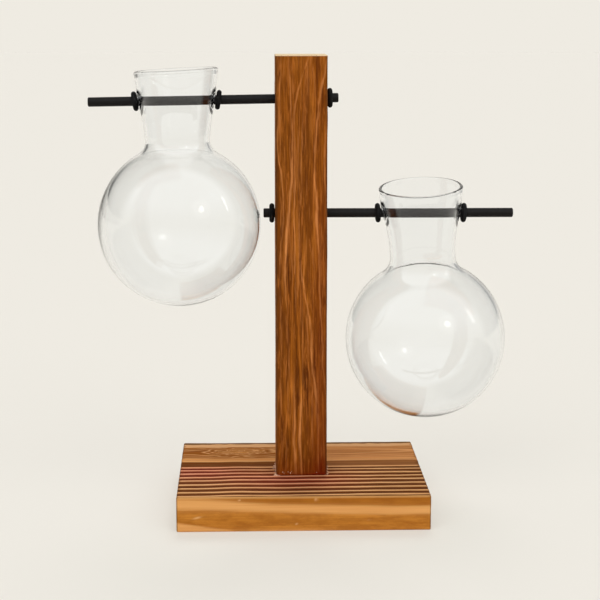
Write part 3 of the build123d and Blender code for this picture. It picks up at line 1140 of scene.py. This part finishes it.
def post_rings(points):
    """The ring count across the post, the spacing there in millimetres, and how bright the nearest line is.

    The count is a whole number on each line. It adds up, over each pair of neighbouring lines, the share of
    the way from one to the next, and goes on at an even spacing outside the first and the last line.
    """
    x, y, z = points.T
    across = x + POST_SLANT * (y - POST_LOW[1])
    across = across + wobble(points, *LONG_WANDER) + wobble(points, *SHORT_WANDER)
    at = np.stack([between(z, LINE_HEIGHTS, line) for line in LINES])
    rings = np.minimum(across - at[0], 0) / POST_SPACING + np.maximum(across - at[-1], 0) / POST_SPACING
    spacing = np.full(len(points), POST_SPACING)
    for left, right in zip(at[:-1], at[1:]):
        gap = np.maximum(right - left, LEAST_GAP)
        rings = rings + np.clip((across - left) / gap, 0, 1)
        spacing = np.where((across > left) & (across <= right), gap, spacing)
    plain = np.full(len(points), PLAIN_LINE)
    bright = np.stack([plain, *(between(z, LINE_HEIGHTS, levels) for levels in BRIGHT), plain])
    nearest = np.clip(np.round(rings).astype(int) + 1, 0, len(LINES) + 1)
    return rings + FIRST_LINE, spacing, bright[nearest, np.arange(len(points))]


# %% The post's shape
POST_EASE = 0.6
POST_COUNTS = (96, 60, 190)
POST_RELIEF = 0.22
LINE_HALF = 0.55
LINE_DEPTH, FIBRE_DEPTH = 0.8, 0.4
LEAST_PROUD = 0.4
DEEPEST = 1.5
FIBRE_WAVES = 0.5, (2.2, 2.2, 45), 13, 30
BORES = {"upper": 2.5, "lower": 2.325}
BORE_REACH = 15.0
# The arris and the end start at a distance and fade in, and each darkening has its reach up the post and its
# level.
ARRIS = 11.0, 1.3
END = 220.45, 0.25
DARKENING_REACHES = [(60.0, 0.03), (12.0, 0.35), (2.2, 0.35)]
RIGHT_SIDE, RIGHT_DARKENING, RIGHT_FOOT_DARKENING = (1.0, 8.0), 0.1, 0.2
RIGHT_EDGE, EDGE_TOP, EDGE_TOP_FADE, EDGE_DARKENING = (3.0, 7.0), 175.0, 40.0, 0.16


def foot_darkening(x, z):
    """How much darker and redder the post is made: in three reaches up from the foot, and more on the right
    side.
    """
    # The shortest reach is painted shade in the crease where the post meets the board. The longer reaches,
    # the right side and the right edge only make the wood darker and redder.
    near = [eased(1 - (z - POST_LOW[2]) / reach) for reach, _ in DARKENING_REACHES]
    foot = sum(level * share for share, (_, level) in zip(near, DARKENING_REACHES))
    right = (RIGHT_DARKENING + RIGHT_FOOT_DARKENING * near[0]) * past(x, *RIGHT_SIDE)
    edge = EDGE_DARKENING * past(x, *RIGHT_EDGE) * eased((EDGE_TOP - z) / EDGE_TOP_FADE)
    return foot + right + edge


def make_post():
    """The eased block, sunk between its lines, then bored for the two rods."""
    points, outward, faces = block_surface(POST_LOW, POST_HIGH, POST_EASE, POST_COUNTS)
    rings, spacing, bright = post_rings(points)
    upright = 1 - np.abs(outward[:, 2])
    proud = ridge(rings, LINE_HALF / spacing) * (LEAST_PROUD + (1 - LEAST_PROUD) * bright)
    fine = 0.5 + wobble(points, *FIBRE_WAVES)
    sunk = POST_RELIEF * upright * np.clip(LINE_DEPTH * (1 - proud) + FIBRE_DEPTH * fine, 0, DEEPEST)
    post = make_piece("square_post", points - outward * np.clip(sunk, 0, POST_EASE / 2)[:, None], faces)
    for arm, radius in BORES.items():
        bore = [(-BORE_REACH, radius), (BORE_REACH, radius)]
        drill(post, [(0.0, -POST_FORWARD, ARMS[arm]["rise"])], bore, axis=0)
    at = mesh_points(post.data)
    x, y, z = at.T
    rings, spacing, bright = post_rings(at)
    # The arris zone marks the post's eased edges, which get painted shade.
    arris = past(np.abs(x), *ARRIS) * past(np.abs(y + POST_FORWARD), *ARRIS)
    carry(post, rings=rings, spacing=spacing, bright=bright)
    carry(post, arris=arris, end=past(z, *END), foot=foot_darkening(x, z))
    return post


# %% [markdown]
# ## The post's finish
# Stain sinks into the soft wood and hardly into the growth lines, so the lines stay bright. Between them run
# finer streaks, threads and flecks of the same kind, which are noises stretched along the grain.

# %% Post finish
POST_FIBRE = 0.12
POST_BODY = [
    (0.3, srgb(84, 36, 0)), (0.42, srgb(122, 62, 2)), (0.55, srgb(154, 84, 12)), (0.7, srgb(202, 120, 42)),
]
BROAD_SHADE, WISP, THREAD = srgb(96, 46, 4), srgb(186, 106, 40), srgb(200, 122, 58)
DARK_FLECK, LIGHT_FLECK = srgb(88, 40, 4), srgb(198, 116, 48)
BRIGHT_LINE, DARK_GRAIN = srgb(234, 150, 82), srgb(70, 28, 0)
FOOT_RED, ARRIS_SHADE = srgb(110, 27, 0), srgb(62, 42, 18)
END_GRAIN_AND_HIGHLIGHT = srgb(232, 206, 166), srgb(200, 156, 106)


def post_streaks(recipe, streak):
    """The stained wood between the lines: a body colour, darker patches, wisps, threads and flecks."""
    body = recipe.ramp(streak, *POST_BODY)
    broad = recipe.noise((120.0, 120.0, 9.0), detail=2.0)
    thread = recipe.noise((700.0, 700.0, 34.0), detail=3.0, distortion=1.1)
    fleck = recipe.noise((1000.0, 1000.0, 110.0), detail=3.0, roughness=0.65)
    body = recipe.wash(body, BROAD_SHADE, broad, (0.42, 0.0), (0.64, 0.5))
    body = recipe.wash(body, WISP, (streak + broad) * 0.5, (0.475, 0.0), (0.5, 0.5), (0.525, 0.0))
    body = recipe.wash(body, THREAD, thread, (0.56, 0.0), (0.68, 0.55))
    body = recipe.wash(body, DARK_FLECK, fleck, (0.34, 0.4), (0.46, 0.0))
    return recipe.wash(body, LIGHT_FLECK, fleck, (0.55, 0.0), (0.68, 0.5))


def post_material():
    """Stained pine: fine upright streaks, a few bright lines, darker and redder towards the foot."""
    recipe = Recipe("stained_post")
    bright = recipe.attribute("bright")
    ragged = recipe.noise((900.0, 900.0, 130.0), detail=3.0, roughness=0.6) - 0.5
    away = recipe.attribute("rings").from_whole() * recipe.attribute("spacing") + ragged * 1.3
    line = recipe.ramp(away * (0.72 - bright * 0.42), (0.0, 1.0), (0.08, 0.85), (0.19, 0.25), (0.36, 0.0))
    faded = recipe.ramp(recipe.noise((150.0, 150.0, 30.0), detail=2.0), (0.36, 0.55), (0.56, 1.0))
    streak = recipe.noise((480.0, 480.0, 26.0), detail=4.0, roughness=0.6, distortion=0.5)
    fibre = recipe.noise((1900.0, 1900.0, 70.0), detail=2.0)
    body = recipe.mix(line * faded * bright, post_streaks(recipe, streak), BRIGHT_LINE)
    body = recipe.wash(body, DARK_GRAIN, fibre, (0.35, 0.4), (0.6, 0.0))
    # Darker and redder towards the foot and on the right, with painted shade in the crease at the very foot.
    body = recipe.mix(recipe.attribute("foot").clamped(), body, FOOT_RED)
    # Painted shade: the eased arrises are darkened brown, as if they were turned away from the light.
    body = recipe.zones(body, arris=(0.6, ARRIS_SHADE))
    # The top end is pale end grain, made paler still as a painted highlight along the post's top edge.
    end_grain_and_highlight = recipe.wash(*END_GRAIN_AND_HIGHLIGHT, away, (0.0, 1.0), (0.3, 0.0))
    colour = recipe.mix(recipe.attribute("end"), body, end_grain_and_highlight)
    shine = recipe.ramp(streak, (0.3, 0.5), (0.7, 0.7))
    return recipe.coat(colour, shine, recipe.bump(fibre + streak, POST_FIBRE), Specular_IOR_Level=0.08)


post = make_post()
dress(post, post_material(), "post_wood", "stand", "post")

# %% [markdown]
# ## The glue
# Clear glue squeezed out where the post was pressed onto the board: hardly any in front, and more at the two
# sides, where it dried in lumps. A round bead would look like a seal, so this one is a quarter of an oval
# carried round the foot, and its width and height change all the way. A few drops landed on the post.

# %% The bead of glue
GLUE_AROUND = 720
GLUE_SECTION = 9
GLUE_TUCK = 0.45
GLUE_HELD_BACK = 0.44
GLUE_WIDTH, GLUE_HEIGHT = 1.6, 1.2
WIDE, WIDE_LUMPS = 0.7, 0.95
TALL, TALL_LUMPS = 0.35, 0.6
LUMP_CIRCLE = 100
BIG_LUMPS = 1.0, (16, 16, 16), 21
SMALL_LUMPS = 0.8, (6, 6, 6), 22
LUMP_LAG = 9
GROOVE_DEPTH, GROOVE_RISE = 0.35, 3
CORNER_POWER = 7


def foot_path(reach):
    """A square about the post's foot: for each point of a circle round it, a place and a direction out.

    The direction is a high power of the turn's cosine and sine, so it swings quickly at the corners.
    """
    half = POST_HIGH[0] - GLUE_TUCK
    place = reach * half / np.abs(reach).max(axis=1)[:, None]
    power = np.sign(reach) * np.abs(reach) ** CORNER_POWER
    return place + (0.0, -POST_FORWARD), power / np.linalg.norm(power, axis=1)[:, None]


def glue_bead():
    """A quarter oval from the post's face out to the board, closed under itself, with lumpy sizes."""
    reach = circle(all_round(GLUE_AROUND))
    place, out = foot_path(reach)
    ring = np.column_stack([reach * LUMP_CIRCLE, np.zeros(GLUE_AROUND)])
    lumps = wobble(ring, *BIG_LUMPS) + wobble(ring, *SMALL_LUMPS)
    beside = out[:, 0] ** 2
    width = beside * (WIDE + WIDE_LUMPS * lumps) - GLUE_HELD_BACK
    width = np.clip(width, -GLUE_HELD_BACK, GLUE_WIDTH) + GLUE_TUCK
    height = np.clip(beside * (TALL + TALL_LUMPS * np.roll(lumps, LUMP_LAG)), 0.0, GLUE_HEIGHT)
    height = height + GROOVE_DEPTH * np.minimum(GROOVE_RISE * beside, 1)
    section = np.vstack([circle(np.linspace(0, pi / 2, GLUE_SECTION))[:, ::-1], (0.0, 0.0)])
    points = np.zeros((len(section), GLUE_AROUND, 3))
    points[..., :2] = place + out * width[:, None] * section[:, 0, None, None]
    points[..., 2] = BOARD_HIGH[2] - GROOVE_DEPTH + height * section[:, 1, None]
    return points, grid_faces(len(section), GLUE_AROUND, wrap=True, loop=True)


# %% The drops and the finish of the glue
# A drop has a place across the post, a height and a radius.
DROPS = [
    (-9.2, 18.6, 0.3), (-8.6, 18.2, 0.22), (-6.6, 18.8, 0.24), (-5.4, 18.2, 0.32), (-4.9, 18.9, 0.2),
    (-4.2, 18.3, 0.26), (7.4, 18.4, 0.22),
]
DROP_AROUND, DROP_DOWN = 12, 7
DROP_SHAPE = (1.0, 0.7, 1.15)
DROP_FACE = -13.95
GLUE_TINTS = srgb(206, 140, 100), srgb(255, 212, 180)
GLUE_GRAIN = 0.15


def make_glue():
    """The bead, and each drop as a ball that is squashed against the post's face and drawn down a little."""
    fall = np.linspace(0, pi, DROP_DOWN)[:, None]
    ball = np.zeros((DROP_DOWN, DROP_AROUND, 3))
    ball[..., :2] = np.sin(fall)[..., None] * circle(all_round(DROP_AROUND))
    ball[..., 2] = np.cos(fall)
    faces = grid_faces(DROP_DOWN, DROP_AROUND, wrap=True)
    drops = [(ball * radius * DROP_SHAPE + (x, DROP_FACE, z), faces) for x, z, radius in DROPS]
    return make_piece("glue", *joined([glue_bead(), *drops]))


def glue_material():
    """Dried clear glue: milky where it holds bubbles, and glossy."""
    recipe = Recipe("dried_glue")
    bubbles = recipe.noise((900.0, 900.0, 900.0), detail=3.0)
    shine = recipe.ramp(bubbles, (0.3, 0.08), (0.7, 0.3))
    milky = recipe.ramp(bubbles, (0.35, 0.25), (0.65, 0.8))
    tint, relief = recipe.mix(bubbles, *GLUE_TINTS), recipe.bump(bubbles, GLUE_GRAIN)
    return recipe.coat(tint, shine, relief, IOR=1.47, Alpha=milky, Specular_IOR_Level=0.2)


glue = make_glue()
dress(glue, glue_material(), "clear_glue", "stand", "glue_bead")

# %% [markdown]
# ## The rods
# Each rod is a cut length of steel bar, sprayed satin black. The CAD rods already have the right length and
# the small chamfers of a clean cut, so they keep their shape and get a finish: a grain along the bar, a
# slightly uneven coat, and thin wear in places, as rings and glass slide along it.

# %% Rods
ROD_BLACK = srgb(6, 5, 5), srgb(18, 14, 12)
ROD_WEAR = srgb(40, 35, 32)
ROD_GRAIN = 0.05


def rod_material():
    """Black paint over drawn bar: two blacks along the grain, scuffed grey in places."""
    recipe = Recipe("satin_black_rod")
    drawn = recipe.noise((60.0, 2600.0, 2600.0), detail=2.0)
    paint = recipe.noise((700.0, 700.0, 700.0), detail=3.0)
    scuff = recipe.noise((340.0, 520.0, 520.0), detail=4.0)
    colour = recipe.wash(recipe.mix(drawn, *ROD_BLACK), ROD_WEAR, scuff, (0.62, 0.0), (0.72, 0.5))
    shine = recipe.ramp(paint, (0.3, 0.36), (0.7, 0.54))
    return recipe.coat(colour, shine, recipe.bump(paint + drawn * 0.5, ROD_GRAIN), Specular_IOR_Level=0.16)


rod_finish = rod_material()
for name in ARMS:
    finish_node(f"{name}_rod", rod_finish)

# %% [markdown]
# ## The rubber rings
# Six moulded rings grip the rods. A plain torus would do from far off, but a real one is squeezed flat where
# it holds the rod and has a fine line all round where the mould's halves met. Those beside the glass lean
# with it, while their holes stay true to the rod.

# %% Rings
RING_AROUND = 96
RING_SECTION = 40
CORD_RADIUS = 1.25
RING_FIT = 0.03
FLASH_HEIGHT = 0.045
FLASH_WIDTH = 0.07
RING_LEANS = {"stop": 0.0, "inner": -1.0, "outer": 1.0}


def make_ring(name, arm, lean):
    """A circle carried round a circle, leaned, then pushed out to the rod wherever it comes too near.

    The flash, the mould's fine line, is a bell over the way round the cord. The ring's middle is the middle
    of the CAD ring's box.
    """
    round_rod = all_round(RING_AROUND)[:, None]
    round_cord = np.linspace(-pi, pi, RING_SECTION, endpoint=False)[None, :]
    flash = FLASH_HEIGHT * bell(round_cord * CORD_RADIUS, 0.0, FLASH_WIDTH)
    cord = CORD_RADIUS + flash - FLASH_HEIGHT
    radius = ROD_RADIUS + CORD_RADIUS + cord * np.cos(round_cord)
    along = cord * np.sin(round_cord) * np.ones_like(radius)
    tilt = radians(lean)
    sideways, upward = radius * np.sin(round_rod), radius * np.cos(round_rod)
    x = along * np.cos(tilt) + upward * np.sin(tilt)
    upward = upward * np.cos(tilt) - along * np.sin(tilt)
    push = np.maximum((ROD_RADIUS + RING_FIT) / np.hypot(sideways, upward), 1.0)
    points = np.stack([x, sideways * push, upward * push], axis=-1)
    low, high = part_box(name)
    place = Matrix.Translation((Vector(low) + Vector(high)) / 2) @ arm_place(arm).to_3x3().to_4x4()
    faces = grid_faces(RING_AROUND, RING_SECTION, wrap=True, loop=True)
    return make_piece(f"{name}_moulded", points, faces, place)


# %% Rubber
RUBBER = srgb(10, 10, 10), srgb(24, 23, 23)
RUBBER_GRAIN = 0.06


def rubber_material():
    """Matt black rubber with a little bloom and dust in its grain."""
    recipe = Recipe("matt_black_rubber")
    grain = recipe.noise((1600.0, 1600.0, 1600.0), detail=3.0)
    bloom = recipe.noise((260.0, 260.0, 260.0), detail=2.0)
    colour = recipe.wash(*RUBBER, bloom, (0.45, 0.0), (0.7, 1.0))
    shine = recipe.ramp(grain, (0.3, 0.62), (0.7, 0.85))
    return recipe.coat(colour, shine, recipe.bump(grain, RUBBER_GRAIN), Specular_IOR_Level=0.15)


rubber = rubber_material()
for name, arm in ARMS.items():
    for kind, way in RING_LEANS.items():
        node = f"{name}_{kind}_ring"
        body = f"{name}_stop" if kind == "stop" else f"{name}_{kind}_grip"
        dress(make_ring(node, arm, way * arm["ring_tilt"]), rubber, "black_rubber", body, node)

# %% [markdown]
# ## The screws
# Two countersunk wood screws hold the post from under the board. Only their heads can be seen, so the CAD
# screws keep their shape and get the bluish grey of zinc plate.

# %% Screws
ZINC = srgb(150, 152, 156), srgb(206, 208, 210)
ZINC_GRAIN = 0.03


def zinc_material():
    """Zinc plate: a bright metal with the fine cloudy crystals of its coat."""
    recipe = Recipe("zinc_plate")
    crystals = recipe.noise((500.0, 500.0, 500.0), detail=4.0)
    colour = recipe.mix(crystals, *ZINC)
    shine = recipe.ramp(crystals, (0.3, 0.25), (0.7, 0.45))
    return recipe.coat(colour, shine, recipe.bump(crystals, ZINC_GRAIN), Metallic=1.0)


finish_node("base_screws", zinc_material())

# %% [markdown]
# ## Size and finish
# The finished stand should be as large as its CAD model, so the box round the stand is measured and its sides
# are printed in millimetres.

# %% Size and finish
made_low, made_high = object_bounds()
sides = [round((high - low) / MILLIMETRE, 2) for low, high in zip(made_low, made_high)]
print("the finished stand is", sides, "mm")
